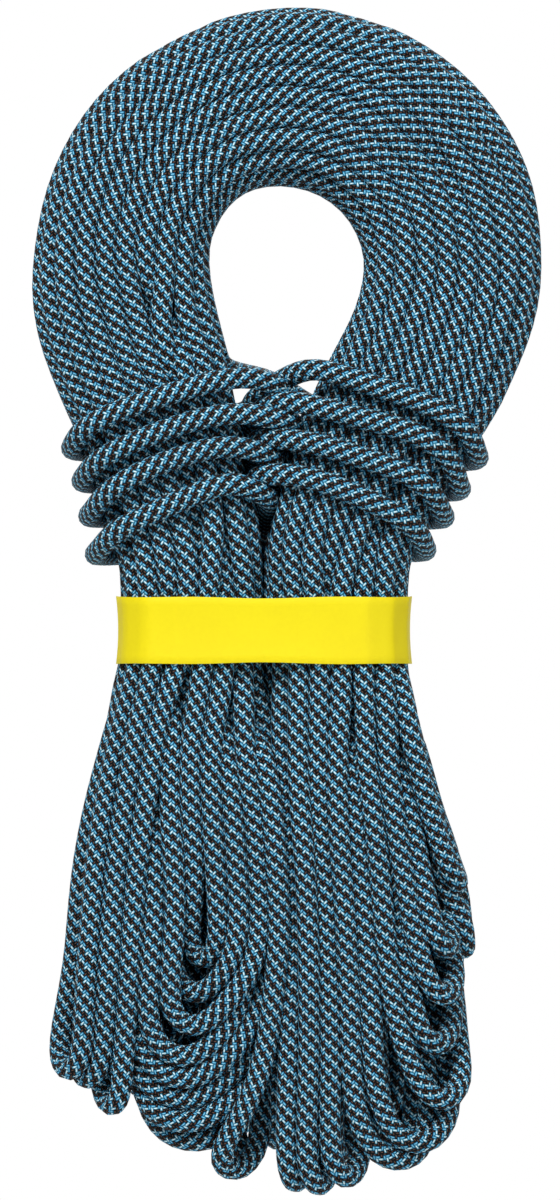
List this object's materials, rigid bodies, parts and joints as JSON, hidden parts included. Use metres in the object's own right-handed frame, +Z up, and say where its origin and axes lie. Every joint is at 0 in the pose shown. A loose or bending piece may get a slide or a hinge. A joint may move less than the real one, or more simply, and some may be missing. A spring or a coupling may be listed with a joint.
{
  "type": "dynamic climbing rope hank",
  "caption": "Sheathed climbing rope coiled as a butterfly hank, lashed in figure-of-eight turns round its two legs, with a paper band and two finished ends",
  "frame": {"origin": "the underside of the arch, where a peg or a hand carries the hank", "axes": "+Z up along the hanging hank, -Y the front with the crossings, +X to the right seen from the front"},
  "size_m": [0.2341, 0.106, 0.5401],
  "materials": {
    "rope_sheath": "braided nylon sheath, satin",
    "core_yarn": "twisted nylon yarn",
    "marker_tape": "thin film tape, blank",
    "fused_nylon": "melted nylon",
    "heat_shrink": "shrunk polyolefin tube",
    "band_paper": "coated paper, satin"
  },
  "bodies": {
    "root": {"hank_core": "rope_sheath", "hank_turns": "rope_sheath", "lashing": "rope_sheath", "label_band": "band_paper", "start_sheath": "rope_sheath", "start_core_strand_01": "core_yarn", "start_core_strand_02": "core_yarn", "start_core_strand_03": "core_yarn", "start_core_strand_04": "core_yarn", "start_core_strand_05": "core_yarn", "start_core_strand_06": "core_yarn", "start_core_strand_07": "core_yarn", "start_core_strand_08": "core_yarn", "start_core_strand_09": "core_yarn", "start_core_strand_10": "core_yarn", "start_core_strand_11": "core_yarn", "start_core_strand_12": "core_yarn", "start_core_strand_13": "core_yarn", "start_core_strand_14": "core_yarn", "start_marker_tape": "marker_tape", "start_tip": "fused_nylon", "start_sleeve": "heat_shrink", "finish_sheath": "rope_sheath", "finish_core_strand_01": "core_yarn", "finish_core_strand_02": "core_yarn", "finish_core_strand_03": "core_yarn", "finish_core_strand_04": "core_yarn", "finish_core_strand_05": "core_yarn", "finish_core_strand_06": "core_yarn", "finish_core_strand_07": "core_yarn", "finish_core_strand_08": "core_yarn", "finish_core_strand_09": "core_yarn", "finish_core_strand_10": "core_yarn", "finish_core_strand_11": "core_yarn", "finish_core_strand_12": "core_yarn", "finish_core_strand_13": "core_yarn", "finish_core_strand_14": "core_yarn", "finish_marker_tape": "marker_tape", "finish_tip": "fused_nylon", "finish_sleeve": "heat_shrink"}
  },
  "joints": []
}
